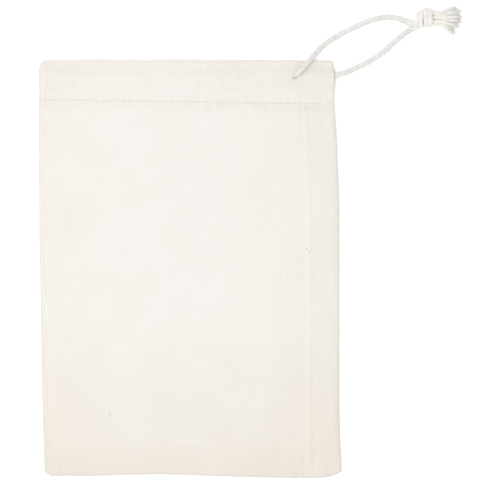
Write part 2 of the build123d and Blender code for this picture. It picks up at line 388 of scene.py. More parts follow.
def frayed_end(name, laid, seed):
    """The opened plies of one tail, with their fibres."""
    rng = random.Random(seed)
    lines = [ply_line(*row) for row in laid]
    body = laid_tube(name, lines, ply_section, PLY_LAY, lambda n, part: 1 - TIP_LOSS * part**3)
    hairs = []
    for line in lines:
        even = evenly(line, 0.5)
        for _ in range(FIBRES_PER_PLY):
            at = round(len(even) * (0.3 + 0.69 * rng.random() ** 0.5)) - 1  # more towards the tip
            way = even[at] - even[at - 1]
            start = even[at] + any_way(rng).normalized() * PLY * 0.26
            hairs.append(wander(rng, start, way, rng.uniform(1.0, 3.0), 0.26))
    fibres = laid_tube(name + "_fibres", hairs, fibre_section, FIBRE_LAY, step=0.8, finish=1)
    return join(body, fibres)


def join(body, *others):
    """Several meshes as one object."""
    bm = bmesh.new()
    for piece in (body, *others):
        bm.from_mesh(piece.data)
    bm.to_mesh(body.data)
    bm.free()
    for piece in others:
        bpy.data.objects.remove(piece)
    return body


front_end = frayed_end("front_plies", FRONT_PLIES, 11)
side_end = frayed_end("side_plies", SIDE_PLIES, 12)
print("frayed end faces:", len(front_end.data.polygons), len(side_end.data.polygons))

# %% [markdown]
# ## Fuzz on the cord
# Cotton cord is never clean: short fibres stand off it everywhere. They are few and fine,
# but they soften its edge, so each leg and the knot get their own.

# %% Short fibres on a cord
FUZZ_PER_MM = 3.0


def fuzz(line, seed, name):
    """Short fibres that stand off a cord."""
    rng = random.Random(seed)
    even = evenly(line, 0.4)
    hairs = []
    for _ in range(round(line_length(line) * FUZZ_PER_MM)):
        at = rng.randrange(0, len(even) - 1)
        way = (even[at + 1] - even[at]).normalized()
        out = any_way(rng)
        out = (out - way * out.dot(way)).normalized()  # square to the cord
        start = even[at] + out * CORD * 0.42
        hairs.append(wander(rng, start, out * 0.7 + way, rng.uniform(0.5, 1.5), 0.5))
    return laid_tube(name, hairs, fibre_section, FIBRE_LAY, step=0.4, finish=1)


knot = join(knot, fuzz(front_wrap + side_wrap[::-1], 23, "knot_fuzz"))
front_leg = join(front_leg, fuzz(front_line, 21, "front_fuzz"))
side_leg = join(side_leg, fuzz(side_line, 22, "side_fuzz"))
print("leg faces with fuzz:", len(front_leg.data.polygons), len(side_leg.data.polygons))

# %% [markdown]
# ## The outline of the cloth
# A sewn bag is never a true rectangle. This one leans a little, its right side swells, its
# lower corners differ and its bottom seam waves. Each edge is a smooth line through a few
# places, so the outline stays easy to change.

# %% A smooth line through a few places
def through(points, at):
    """Height of a smooth line through points, at one place along it."""
    last = len(points) - 1
    at = min(max(at, points[0][0]), points[last][0])
    k = max(i for i in range(last) if points[i][0] <= at)

    def slope(i):
        a, b = points[max(i - 1, 0)], points[min(i + 1, last)]
        return (b[1] - a[1]) / (b[0] - a[0])

    (x0, y0), (x1, y1) = points[k], points[k + 1]
    span = x1 - x0
    t = (at - x0) / span
    return (
        y0 * (1 + 2 * t) * (1 - t) ** 2
        + y1 * t * t * (3 - 2 * t)
        + slope(k) * span * t * (1 - t) ** 2
        - slope(k + 1) * span * t * t * (1 - t)
    )


# The sides are x for each y, and the level lines are y for each x.
LEFT = [(-89, -62.1), (-58, -62.9), (-20, -63.6), (25, -64.3), (89, -64.3)]
RIGHT = [
    (-89, 64.6), (-80, 64.4), (-66, 63.7), (28, 63.5), (48, 62.8),
    (62, 62.0), (70, 61.5), (83, 61.5), (89, 60.7),
]
BOTTOM = [
    (-62, -88.5), (-40, -88.4), (-14, -87.8), (12, -88.6),
    (36, -89.2), (56, -89.3), (62, -88.0), (65, -86.4),
]
STITCHED = [(-65, 71.7), (-25, 71.2), (15, 70.6), (62, 70.1)]
MOUTH = [(-65, 88.4), (-20, 88.3), (4, 88.4), (30, 88.7), (62, 88.7)]


def left_side(y):
    """X of the folded side at a height up the cloth."""
    return through(LEFT, y) + 0.12 * noise.noise(Vector((3.1, y / 9, 0)))


def right_side(y):
    """X of the sewn side."""
    return through(RIGHT, y) + 0.16 * noise.noise(Vector((7.7, y / 6, 0)))


def bottom_line(x):
    """Y of the bottom seam."""
    return through(BOTTOM, x) + 0.14 * noise.noise(Vector((x / 6, 1.3, 0)))


def stitched_row(x):
    """Y of the casing's stitched row."""
    return through(STITCHED, x)


def mouth_line(x):
    """Y of the mouth."""
    return through(MOUTH, x) + 0.12 * noise.noise(Vector((x / 8, 5.9, 0)))


print("width at the middle, mm:", round(right_side(0) - left_side(0), 1))

# %% [markdown]
# ## How high the cloth lies
# An empty bag isn't flat. The left fold is a soft roll, the middle is a low crown full of
# air, and the seams lie on the table. The layers of the seam allowance show through as a
# step, the seam thread gathers the cloth into fine puckers, and the cord lifts the casing
# into a ridge. Each of these is one term of a height, which is easier to steer than a
# simulation when the loft is only a few millimetres.

# %% Small helpers for shapes
def smooth(x):
    """From 0 to 1, slow at both ends."""
    x = min(max(x, 0.0), 1.0)
    return x * x * (3 - 2 * x)


def bell(x, width):
    """1 at 0, falling off on both sides."""
    return math.exp(-((x / width) ** 2))


def wave(x, y, seed=0.0):
    """Soft noise from about -1 to 1."""
    return noise.noise(Vector((x, y, seed)))


def fade(distance, reach):
    """1 at an edge, falling off away from it."""
    return math.exp(-max(distance, 0) / reach)


print("bell and fade, one width away:", round(bell(1, 1), 2), round(fade(1, 1), 2))

# %% Heights of the front layer, in millimetres above the table
SEAM_HEIGHT = 1.25
CROWN = 5.2
ALLOWANCE = 13.6  # width of the cloth left inside the seams
PITCH = 2.9  # one stitch and the gap after it


def lift(x):
    """Height of the front layer along the casing's stitched row."""
    return 1.7 + 5.6 * smooth((60 - x) / 78) * (1 - 0.2 * bell(x + 64, 20))


def row_pull(x, from_row):
    """What the casing's stitched row does to the cloth on both sides of it."""
    below = from_row > 0
    away = abs(from_row)
    valley = -0.56 * bell(from_row, 3.8 if below else 2.2)
    stitches = 0.13 * math.cos(math.tau * x / PITCH + 2 * wave(x / 9, 1, 5)) * fade(away, 1.6)
    pleats = 0.26 * wave(x / 2.6, 0.3, 6) + 0.3 * wave(x / 6.5, 0.7, 7)
    return valley + stitches + pleats * fade(away, 8 if below else 4)


def puckers(x, y, from_bottom, from_right):
    """What the seam threads do to the cloth beside them."""
    bottom = 0.5 * wave(x / 1.5, y / 40, 2) + 0.3 * wave(x / 3.7, y / 40, 3)
    side = 0.34 * wave(y / 2.1, x / 30, 4)
    return bottom * fade(from_bottom, 8) + side * fade(from_right, 4)


def layers_under(from_bottom, from_right, from_row):
    """The step over the folded-in allowance, and the thread along its raw edge."""
    reach_right = smooth((ALLOWANCE + 0.8 - from_right) / 1.6) * smooth(from_row / 4)
    reach_bottom = smooth((ALLOWANCE + 1.2 - from_bottom) / 2.2)
    edge_right = 0.34 * bell(from_right - ALLOWANCE + 1, 1.0) * smooth(from_row / 6)
    edge_right *= smooth(from_bottom / 9)
    edge_bottom = 0.18 * bell(from_bottom - ALLOWANCE + 1, 1.3) * smooth(from_right / 12)
    return 0.38 * reach_right + 0.22 * reach_bottom + edge_right + edge_bottom


def slack(x, y):
    """Broad slackness all over, and a little that is finer."""
    broad = 0.75 * wave(x / 30, y / 38, 8) + 0.3 * wave(x / 12, y / 17, 9)
    return broad + 0.06 * wave(x / 4, y / 4.6, 10)


CREASES = [(45.5, -71.7), (48.0, -82.3)]  # short level creases, by their middles


def creases(x, y, from_bottom, from_right):
    """The sharper creases of the lower right corner."""
    corner = bell(from_bottom - 10, 13) * bell(from_right - 14, 12)
    crushed = 0.7 * wave(x / 5, y / 9, 12) + 0.3 * wave(x / 2, y / 4, 13)
    upright = -0.6 * bell(from_right - 12.2 - 0.9 * wave(1, y / 5, 11), 0.9) * bell(from_bottom - 11, 11)
    level = sum(-0.4 * bell(y - middle, 0.8) * bell(x - across, 3.5) for across, middle in CREASES)
    return corner * crushed + upright + level


def calm_edges(from_left, from_right):
    """0 at the fold and the seam, where the cloth is held, and 1 inside."""
    return smooth((from_left - 1) / 7) * smooth(from_right / 2 + 0.2)


LEAST_PANEL = 0.8  # the front layer never comes lower than the layers under it


def panel_height(x, y):
    """Height of the front panel's outside."""
    from_left, from_right = x - left_side(y), right_side(y) - x
    from_bottom, from_row = y - bottom_line(x), max(stitched_row(x) - y, 0)
    sides = (0.5 + 0.5 * (1 - fade(from_left, 8))) * (1 - fade(from_right, 13))
    body = SEAM_HEIGHT + CROWN * sides * (1 - fade(from_bottom, 12))
    near_row = fade(from_row, 16)
    height = body * (1 - near_row) + lift(x) * near_row
    detail = puckers(x, y, from_bottom, from_right) + creases(x, y, from_bottom, from_right)
    inside_bag = layers_under(from_bottom, from_right, from_row) + slack(x, y)
    detail += inside_bag * smooth(from_bottom / 3.5 + 0.25)
    detail += row_pull(x, from_row)
    return max(height + detail * calm_edges(from_left, from_right), LEAST_PANEL)


print("crown, mm:", round(panel_height(0, 0), 2), "by the casing:", round(panel_height(0, 68), 2))

# %% [markdown]
# ## A sheet of cloth
# Every cloth piece starts from Blender's grid operator, one column for each place across
# and one row for each place up, and every point is then moved to where the cloth lies. The
# grid also writes a UV map in the cloth's own flat measure, so the weave follows the
# threads, and a point attribute that says how warm the cloth is there, with painted shade
# along its edges. Solidify gives the sheet its thickness, with the outside left where it was put.

# %% Cloth from a grid
CLOTH = 0.4  # thickness
UV_SCALE = 100.0  # millimetres of cloth in one unit of the UV map


def cloth_sheet(name, across, up, place, gap=None, thickness=CLOTH):
    """A sheet with one grid point for each place across and up.

    place(u, v) gives a grid point's place, its flat x and y, and its tone. gap(bm) may open
    the sheet before it gets its thickness.
    """
    bm = bmesh.new()
    columns, rows = len(across) - 1, len(up) - 1
    bmesh.ops.create_grid(bm, x_segments=columns, y_segments=rows, size=1)
    threads = bm.loops.layers.uv.new("threads")
    tone = bm.verts.layers.float.new("tone")
    flat = {}
    for vert in bm.verts:
        u = across[round((vert.co.x + 1) / 2 * columns)]
        v = up[round((vert.co.y + 1) / 2 * rows)]
        point, flat_x, flat_y, warmth_and_shade = place(u, v)
        flat[vert] = (flat_x / UV_SCALE, flat_y / UV_SCALE)
        vert[tone] = warmth_and_shade
        vert.co = Vector(point) * MM
    for face in bm.faces:
        face.smooth = True
        for loop in face.loops:
            loop[threads].uv = flat[loop.vert]
    if gap:
        gap(bm)
    mesh = bpy.data.meshes.new(name)
    bm.to_mesh(mesh)
    bm.free()
    piece = bpy.data.objects.new(name, mesh)
    bpy.context.scene.collection.objects.link(piece)
    return thickened(piece, thickness)


def thickened(piece, thickness):
    """Gives a sheet its thickness, inwards from the side that its faces show."""
    wall = piece.modifiers.new("thickness", "SOLIDIFY")
    wall.thickness = thickness * MM
    wall.offset = -1
    wall.use_even_offset = False
    depsgraph = bpy.context.evaluated_depsgraph_get()
    solid = bpy.data.meshes.new_from_object(piece.evaluated_get(depsgraph))
    piece.modifiers.clear()
    piece.data = solid
    solid.name = piece.name
    return piece


def spaced(start, end, step):
    """Even places from start to end, about step apart."""
    count = max(1, round(abs(end - start) / step))
    return [start + (end - start) * i / count for i in range(count + 1)]


EDGE_SHADE_TONE = 2.0  # the tone of the painted shade along the cloth's edges


def warmth_and_edge_shade_at(x, y):
    """The cloth's tone: warmer towards the seams and the lower right, with painted shade darkest at its
    edges.
    """
    across = 0.24 * smooth((-30 - x) / 30) + 0.2 * smooth((x - 4) / 52)
    down = 0.5 * smooth((-14 - y) / 54) + 0.28 * smooth((-70 - y) / 12) + 0.14 * smooth((y - 74) / 8)
    seams = 0.22 * fade(right_side(y) - x, 2) + 0.3 * bell(y - stitched_row(x) + 1.3, 2.2)
    # warmer and darker round the hole
    warm_round_hole = 0.35 * bell(math.hypot(x - 45, y - 82), 5)
    warm = min(max(across + down + seams + warm_round_hole + 0.14 * wave(x / 19, y / 19, 14), 0), 1)
    from_edge = min(x - left_side(y), right_side(y) - x, y - bottom_line(x), mouth_line(x) - y)
    # painted shade: the tone turns dark within a fraction of a millimetre of every edge
    return warm + (EDGE_SHADE_TONE - warm) * 0.85 * fade(from_edge, 0.3)


print("tone in the middle:", round(warmth_and_edge_shade_at(0, 0), 2))

# %% [markdown]
# ## The casing's outside
# Past the stitched row the same cloth carries on as the outside of the casing, and the two
# heights meet at that row. The casing rises over the cord and slopes more steeply to the
# fold at the mouth, which is why its upper half is a shade darker.

# %% The casing's outside
CORD_ROW = 6.8  # cord's middle below the mouth
RIDGE = 2.3  # how far the cord lifts the casing
HOLE = Vector((44.8, 82.0, 0))


def over_cord(y, mouth):
    """1 over the cord, falling off on both sides, faster towards the mouth."""
    offset = y - (mouth - CORD_ROW)
    return bell(offset, 3.3 if offset > 0 else 5.0)


def casing_height(x, y):
    """Height of the outside of the front casing."""
    row, mouth = stitched_row(x), mouth_line(x)
    above = max(y - row, 0)
    ridge = RIDGE * over_cord(y, mouth) * smooth(above / 6)
    loose = 0.3 * wave(x / 4.2, y / 16, 15) + 0.14 * wave(x / 1.9, y / 9, 17)
    pulled = -0.4 * bell(x - HOLE.x - 2.4, 1.0) * bell(y - mouth + 3.4, 3.2)
    detail = slack(x, y) * (1 - smooth(above / 9))
    detail += loose * smooth(above / 4) * smooth((mouth + 1 - y) / 3)
    detail += pulled
    held = calm_edges(x - left_side(y), right_side(y) - x)
    return lift(x) + ridge + (detail + row_pull(x, -above)) * held


def outside(x, y):
    """Height of the front layer's outside anywhere."""
    return panel_height(x, y) if y < stitched_row(x) else casing_height(x, y)


print("over the cord, mm:", round(outside(0, 81.5), 2))

# %% [markdown]
# ## The front panel
# The panel goes from the bottom seam to the casing's stitched row, and from the sewn side
# right round the left fold, where it tucks under and meets the back. The fold is half a
# circle whose size comes from the panel's own height there. At the sewn side and at the
# bottom the cloth turns down into the seam, which shows as a small rounded lip. A column's
# place depends on the outline at its height, and the outline on its place, so each point
# is worked out once from the rough outline and then again from the real one.

# %% Columns across the front, from under the fold to the sewn side
ROLL = 14  # columns round the left fold
LIP = 0.55  # radius of the rounded edge at a seam
LIP_TURN = math.radians(150)
LIP_BOTTOM = 0.62  # the lip stops above the back panel
CORNER = 3.2  # radius of the outline's lower left corner
TABLE_GAP = 0.12
ROUGH_LEFT, ROUGH_RIGHT = -62.4, 61.5
ROUGH_BOTTOM, ROUGH_PANEL = -88.5, 160  # the panel's lower edge, and its height
ROUGH_ROW, ROUGH_MOUTH = 71, 89


def spaced_near(start, end, step, places, fine, reach):
    """Even places, and finer ones near a few places."""
    out, at = [start], start
    while at < end - fine * 0.6:
        near = min(abs(at - place) for place in places)
        at += fine if near < reach else step
        out.append(min(at, end))
    if end - out[-1] > 1e-6:
        out.append(end)
    return out


roll_columns = [-math.pi / 2 + math.pi * i / ROLL for i in range(ROLL)]
hole_share = (HOLE.x - ROUGH_LEFT) / (ROUGH_RIGHT - LIP - ROUGH_LEFT)
flat_columns = [2 + c for c in spaced_near(0, 1, 1 / 176, [hole_share], 0.0022, 0.026)]
lip_columns = [3 + i / 5 for i in range(1, 6)]
front_columns = roll_columns + flat_columns + lip_columns
print("columns: roll", len(roll_columns), "flat", len(flat_columns), "lip", len(lip_columns))


# %% Places across and up the front
def rolled(y):
    """Half the height of the roll at the left fold."""
    return max(outside(left_side(y) + 2.2, y) - TABLE_GAP, LEAST_PANEL) / 2


def across_place(u, y, inner=0.0, depth=0.0):
    """X and height for one column: below 2 is the roll, to 3 the flat, above 3 the lip.

    A share inner of the depth is taken off, towards the inside of the cloth.
    """
    edge, far, half = left_side(y), right_side(y) - LIP, rolled(y)
    inside = inner * depth
    if u < 2:
        radius = half - inside
        return edge + half - radius * math.cos(u), TABLE_GAP + half + radius * math.sin(u)
    x = edge + half + (far - edge - half) * min(u - 2, 1)
    z = outside(x, y) - inside
    if u > 3:
        turn, reach = (u - 3) * LIP_TURN, LIP * (1 - 0.8 * inner)
        x, z = x + reach * math.sin(turn), max(z - reach * (1 - math.cos(turn)), LIP_BOTTOM)
    return x, z


def flat_across(u, x, y):
    """How far across the flat cloth a column is, with the roll laid out."""
    return x if u > 2 else left_side(y) + rolled(y) * (1 + u - math.pi / 2)


def soft_corner(x, y, left, low, size):
    """Rounds a lower left corner of the outline, as a square is mapped onto a disc."""
    p, q = (left + size - x) / size, (low + size - y) / size
    if p <= 0 or q <= 0:
        return x, y
    p, q = min(p, 1), min(q, 1)
    round_x = left + size - size * p * math.sqrt(1 - q * q / 2)
    round_y = low + size - size * q * math.sqrt(1 - p * p / 2)
    return round_x, round_y


print("roll at the left fold, mm:", round(2 * rolled(0), 2))

# %% The front panel's sheet
LIP_START = 0.4  # columns before this are under the roll and have no lip


def on_front(u, v):
    """A point of the front panel.

    v below 0 is the lip at the bottom seam, and above 1 the edge that tucks under the casing.
    """
    share = max(v, 0)
    x, _ = across_place(u, ROUGH_BOTTOM + ROUGH_PANEL * share)
    low = bottom_line(x) + LIP
    y = low + (stitched_row(x) - low) * share
    x, z = across_place(u, y)
    if v < 0 and u > LIP_START:
        turn = -v * LIP_TURN
        y, z = y - LIP * math.sin(turn), max(z - LIP * (1 - math.cos(turn)), LIP_BOTTOM)
    elif v < 0:
        y += LIP * v / 2
    if share > 1:
        z -= min((y - stitched_row(x)) / 4, 0.06)
    flat_x, flat_y = flat_across(u, x, y), y
    x, y = soft_corner(x, y, left_side(y), bottom_line(x), CORNER)
    return (x, y, z), flat_x, flat_y, warmth_and_edge_shade_at(x, y)


lip_rows, tucked_rows = [-1 + i / 4 for i in range(4)], [1.003, 1.008]
panel_rows = spaced(0, 0.12, 0.0048) + spaced(0.12, 0.88, 0.0074)[1:] + spaced(0.88, 1, 0.0042)[1:]
front_rows = lip_rows + panel_rows + tucked_rows
front_panel = cloth_sheet("front_panel_cloth", front_columns, front_rows, on_front)
print("front panel faces:", len(front_panel.data.polygons))

# %% [markdown]
# ## The casing
# The top edge of the cloth is turned in and stitched down, which makes a tunnel. One
# sheet makes it: up the outside, over the cord, round the fold at the mouth and back down
# on the inside, where it ends in a raw edge just below the stitched row.

# %% The section of the tunnel
FOLD_ROUND = 0.55  # radius of the fold at the mouth
FOLD_FLAT = 1.7  # cloth in the fold, laid flat
INSIDE_FLAT = 18.8  # cloth on the inside, laid flat
RAW_EDGE = 1.3  # how far the turned-in edge goes past the stitched row
TWO_LAYERS = 0.85
CORD_ROOM = 1.95  # what the cord adds to the casing's thickness


def tunnel_depth(x, y):
    """Thickness of the casing: two layers, and the cord between them where it runs."""
    has_cord = 1 - smooth((x - HOLE.x - 2) / 6)
    room = (CORD_ROOM * has_cord + 0.15) * over_cord(y, mouth_line(x))
    return TWO_LAYERS + room * smooth((y - stitched_row(x)) / 6)


def back_inside(x, y):
    """Height of the inside of the back casing, which lies on the table."""
    return 0.95 + CORD_ROOM * over_cord(y, mouth_line(x)) + 0.12 * wave(x / 5, y / 9, 18)


def section_place(v, row, mouth):
    """Where v is on the section: its height up the cloth, and 0 outside to 1 inside."""
    top = mouth - FOLD_ROUND
    if v <= 1:
        return row + (top - row) * v, 0.0
    if v < 2:
        turn = (v - 1) * math.pi
        return top + FOLD_ROUND * math.sin(turn), 0.5 - 0.5 * math.cos(turn)
    return top + (row - RAW_EDGE - top) * (v - 2), 1.0


def flat_up(v):
    """How far up the flat cloth v is: the outside, the fold, then the inside."""
    up, fold, down = min(v, 1), min(max(v - 1, 0), 1), max(v - 2, 0)
    return ROUGH_ROW + (ROUGH_MOUTH - ROUGH_ROW) * up + FOLD_FLAT * fold + INSIDE_FLAT * down


print("casing's thickness over the cord, mm:", round(tunnel_depth(0, 82), 2))


# %% Places on the front casing
def on_casing(u, v):
    """A point of the front casing, round the left fold and along to the sewn side."""
    x, _ = across_place(u, section_place(v, ROUGH_ROW, ROUGH_MOUTH)[0])
    y, inner = section_place(v, stitched_row(x), mouth_line(x))
    x, z = across_place(u, y, inner, tunnel_depth(x, y))
    tone, flat_x = warmth_and_edge_shade_at(x, y), flat_across(u, x, y)
    x, y = round_top_corner(x, y)
    return (x, y, z), flat_x, flat_up(v), tone


def round_top_corner(x, y, size=2.8):
    """Rounds the upper left corner of the outline."""
    mirrored = soft_corner(x, -y, left_side(y), -mouth_line(x), size)
    return mirrored[0], -mirrored[1]


print("top left corner, rounded, mm:", [round(v, 1) for v in round_top_corner(-64.0, 88.0)])

# %% [markdown]
# ## The hole in the front casing
# The hole that the front leg comes out of is only pushed open between the threads, so it
# is made the same way: a few faces are taken out of the outside layer, and the cloth round
# them is pushed aside by less and less. The pulled crease that runs up from it to the mouth
# is already one term of the casing's height.

# %% The hole in the front casing
HOLE_LONG, HOLE_WIDE = 1.35, 1.0  # half its length and half its width
HOLE_PUSH = 6.0  # how far the push reaches
HOLE_TURN = math.radians(39)
HOLE_RIM = 0.22  # how far the rim stands up
TAKEN_OUT = 0.32  # faces whose middles are nearer than this are taken out
OUTSIDE_ONLY = 1.4  # below the outside by more than this is another layer


def open_hole(bm):
    """Takes out the faces at the hole and pushes the cloth round it aside."""
    level = outside(HOLE.x, HOLE.y) - OUTSIDE_ONLY

    def offset_of(point):
        return (point / MM - HOLE).xy

    def at_hole(face):
        middle = face.calc_center_median()
        return offset_of(middle).length < TAKEN_OUT and middle.z / MM > level

    bmesh.ops.delete(bm, geom=[face for face in bm.faces if at_hole(face)], context="FACES")
    for vert in bm.verts:
        offset = offset_of(vert.co)
        if not 0 < offset.length < HOLE_PUSH or vert.co.z / MM < level:
            continue
        along = math.atan2(offset.y, offset.x) - HOLE_TURN
        wide = math.hypot(HOLE_LONG * math.cos(along), HOLE_WIDE * math.sin(along))
        grown = math.sqrt(offset.length**2 + wide**2 * (1 - offset.length / HOLE_PUSH) ** 2)
        moved = offset * (grown / offset.length)
        vert.co.x, vert.co.y = (HOLE.x + moved.x) * MM, (HOLE.y + moved.y) * MM
        vert.co.z += HOLE_RIM * MM * bell(grown - wide, 0.5)


hole_row = 0.62  # the hole's place between the stitched row and the mouth
section_rows = spaced_near(0, 1, 1 / 34, [hole_row], 0.013, 0.14)
section_rows += [1 + i / 7 for i in range(1, 7)] + [2 + c for c in spaced(0, 1, 1 / 26)]
front_casing = cloth_sheet("front_casing_cloth", front_columns, section_rows, on_casing, open_hole)
print("front casing faces:", len(front_casing.data.polygons))

# %% [markdown]
# ## The back
# The back panel lies on the table and is all but flat. The back casing has the cord in it
# along its whole length, and its right end is left open, because the cord leaves there. The
# columns of both run from right to left, so that their faces point down, to the outside.

# %% Places on the back
BACK_LIP = 0.35  # the back stops this far inside the outline
UNDER_ROLL = 0.6  # and goes this far under the roll at the left fold


def back_reach(y):
    """Where the back starts under the roll, and where it ends at the sewn side."""
    return left_side(y) + rolled(y) - UNDER_ROLL, right_side(y) - BACK_LIP


def on_back_panel(u, v):
    """A point of the back panel, with its outside against the table."""
    start, far = back_reach(ROUGH_BOTTOM + ROUGH_PANEL * v)
    x = far + (start - far) * u
    low = bottom_line(x) + BACK_LIP
    y = low + (stitched_row(x) - low) * v
    near_edge = fade(x - start, 2) + fade(far - x, 2) + fade(y - low, 2)
    lifted = 0.04 + 0.1 * abs(wave(x / 9, y / 11, 19)) + 0.1 * near_edge
    x, y = soft_corner(x, y, start, low, CORNER)
    return (x, y, min(lifted, 0.35)), x, y, warmth_and_edge_shade_at(x, y)


def on_back_casing(u, v):
    """A point of the back casing, with its outside against the table."""
    start, far = back_reach(section_place(v, ROUGH_ROW, ROUGH_MOUTH)[0])
    x = far + (start - far) * u
    y, inner = section_place(v, stitched_row(x), mouth_line(x))
    z = TABLE_GAP + inner * (back_inside(x, y) - TABLE_GAP)
    tone = warmth_and_edge_shade_at(x, y)
    x, y = round_top_corner(x, y)
    return (x, y, z), x, flat_up(v), tone


back_rows = [v for i, v in enumerate(section_rows) if v > 1 or i % 2 == 0]
back_panel = cloth_sheet("back_panel_cloth", spaced(0, 1, 1 / 110), spaced(0, 1, 1 / 120), on_back_panel)
back_casing = cloth_sheet("back_casing_cloth", spaced(0, 1, 1 / 170), back_rows, on_back_casing)
print("back faces:", len(back_panel.data.polygons), len(back_casing.data.polygons))

# %% [markdown]
# ## Seam allowances
# Inside the bag, the two layers left outside each seam line lie flat against the back. They
# can be seen through the open mouth. Each is a thin double strip with a wavering raw edge.

# %% Strips inside the right side and the bottom
STRIP = 0.3  # thickness of a layer, which is pressed thinner than the cloth outside
LEVELS = (0.84, 1.18)  # heights of the two layers
RIGHT_STRIP_LOW, BOTTOM_STRIP_LEFT = -84, -59


def right_strip(level):
    """Places on one layer of the right allowance."""
    def place(u, v):
        y = RIGHT_STRIP_LOW + (stitched_row(60) - 3.5 - RIGHT_STRIP_LOW) * v
        raw = ALLOWANCE + 0.5 * wave(y / 7, level, 20)
        x = right_side(y) - raw + (raw - 1.4) * u
        return (x, y, level + 0.08 * wave(x / 4, y / 6, 21)), x, y, 0.3
    return place


def bottom_strip(level):
    """Places on one layer of the bottom allowance."""
    def place(u, v):
        far = right_side(-80) - ALLOWANCE - 0.4
        x = BOTTOM_STRIP_LEFT + (far - BOTTOM_STRIP_LEFT) * u
        raw = ALLOWANCE + 0.5 * wave(x / 7, level, 22)
        y = bottom_line(x) + 1.6 + (raw - 1.6) * v
        return (x, y, level + 0.08 * wave(x / 4, y / 6, 23)), x, y, 0.35
    return place


def double_strip(name, columns, rows, strip):
    """Two layers of one allowance, as one piece."""
    across, up = spaced(0, 1, 1 / columns), spaced(0, 1, 1 / rows)
    layers = [cloth_sheet(name, across, up, strip(level), thickness=STRIP) for level in LEVELS]
    return join(*layers)


right_allowance = double_strip("right_allowance_cloth", 12, 110, right_strip)
bottom_allowance = double_strip("bottom_allowance_cloth", 90, 12, bottom_strip)
print("allowance faces:", len(right_allowance.data.polygons), len(bottom_allowance.data.polygons))

# %% [markdown]
# ## Sewing thread
# A lockstitch shows as a row of short slanted bars that dive into the cloth at both ends. A
# raw edge is bound with an overlock, whose thread runs to and fro over the edge. Both are
# curves through a few places on the cloth, with a fine round section.

# %% Stitches as short curves
THREAD = 0.34
THREAD_LAY = 1.1
ROW_STITCH, SEAM_STITCH = 2.15, 2.1  # length of a stitch that shows
thread_section = lobed_section("thread_section", THREAD, 2, 0.16, 8)


def stitch(start, end, height, sink=0.32):
    """One stitch: in, up, along and down into the cloth again."""
    lay = [0.0, 0.12, 0.5, 0.88, 1.0]
    rise = [-sink, 0.02, 0.06, 0.02, -sink]
    places = []
    for part, up in zip(lay, rise):
        x, y = start.x + (end.x - start.x) * part, start.y + (end.y - start.y) * part
        places.append(Vector((x, y, height(x, y) + up)))
    return places


def stitched(name, places, height):
    """A row of stitches, one for each start and end."""
    lines = [stitch(Vector(a), Vector(b), height) for a, b in places]
    return laid_tube(name, lines, thread_section, THREAD_LAY, step=0.3)


def on_row(x, offset):
    """A place a little above the stitched row's line."""
    return (x, stitched_row(x) + offset, 0)


row_places = [(on_row(x, 0.1), on_row(x + ROW_STITCH, 0.22)) for x in spaced(-61.0, 57.6, PITCH)]
front_row = stitched("front_row_thread", row_places, outside)
back_row = stitched("back_row_thread", row_places[3:-6], back_inside)
print("stitches of the casing's row:", len(row_places))

# %% Seams and tack
SEAM_TOP = 1.32  # top of the allowances, where the seam threads lie
TACK_BARS = 6


def flat_top(x, y):
    """Height of the seam threads, the same everywhere."""
    return SEAM_TOP


def front_side(x, y):
    """The tack sinks a little into the front layer."""
    return outside(x, y) - 0.12


right_places, bottom_places, tack_places = [], [], []
for y in spaced(-72, 64, PITCH):
    x = right_side(y) - 2.2
    right_places.append(((x, y, 0), (x, y + SEAM_STITCH, 0)))
for x in spaced(-55, 42, PITCH):
    y = bottom_line(x) + 2.6
    bottom_places.append(((x, y, 0), (x + SEAM_STITCH, y, 0)))
for i in range(TACK_BARS):
    y = stitched_row(60) + 0.9 + 0.36 * i
    ends = [(57.9, y, 0), (61.0, y + 0.12, 0)]
    tack_places.append(ends if i % 2 else ends[::-1])
right_seam = stitched("right_seam_thread", right_places, flat_top)
bottom_seam = stitched("bottom_seam_thread", bottom_places, flat_top)
side_tack = stitched("side_tack_thread", tack_places, front_side)
print("seam stitches:", len(right_places), len(bottom_places), "tack bars:", len(tack_places))

# %% Overlock on the raw edges
LOCK_STEP = 1.5
LOCK_WIDTHS = (-0.2, 3.0)  # from the raw edge towards the seam, at each turn
LOCK_HEIGHTS = (-0.25, 0.05)


def overlock(name, places):
    """Thread that runs to and fro over a raw edge."""
    return laid_tube(name, [places], thread_section, THREAD_LAY, step=0.4)


right_zigzag, bottom_zigzag = [], []
for i, y in enumerate(spaced(-73, 66, LOCK_STEP)):
    x = right_side(y) - ALLOWANCE + LOCK_WIDTHS[i % 2]
    right_zigzag.append(Vector((x, y, SEAM_TOP + LOCK_HEIGHTS[i % 2])))
for i, x in enumerate(spaced(-54, 46, LOCK_STEP)):
    y = bottom_line(x) + ALLOWANCE - LOCK_WIDTHS[i % 2]
    bottom_zigzag.append(Vector((x, y, SEAM_TOP + LOCK_HEIGHTS[i % 2])))
right_lock = overlock("right_overlock_thread", right_zigzag)
bottom_lock = overlock("bottom_overlock_thread", bottom_zigzag)
print("turns of the overlock:", len(right_zigzag), len(bottom_zigzag))

# %% [markdown]
# ## The cord inside the casing
# It hardly shows, but it fills the ridge, it can be seen through the hole and at the open
# end, and it turns round inside the left fold. It is the same cord, carried on: each run
# reaches to where its leg leaves the casing.

# %% Runs and bend
RUN_START = -57.5  # where both runs leave the bend
RUN_STEP = 6
BACK_RUN_HEIGHT = 1.7
BEND_STEPS = 12


def in_casing(x, height=None):
    """A place on the cord inside the casing; with no height it hangs from the front layer."""
    y = mouth_line(x) - CORD_ROW
    return Vector((x, y, outside(x, y) - CLOTH - 1.2 if height is None else height))


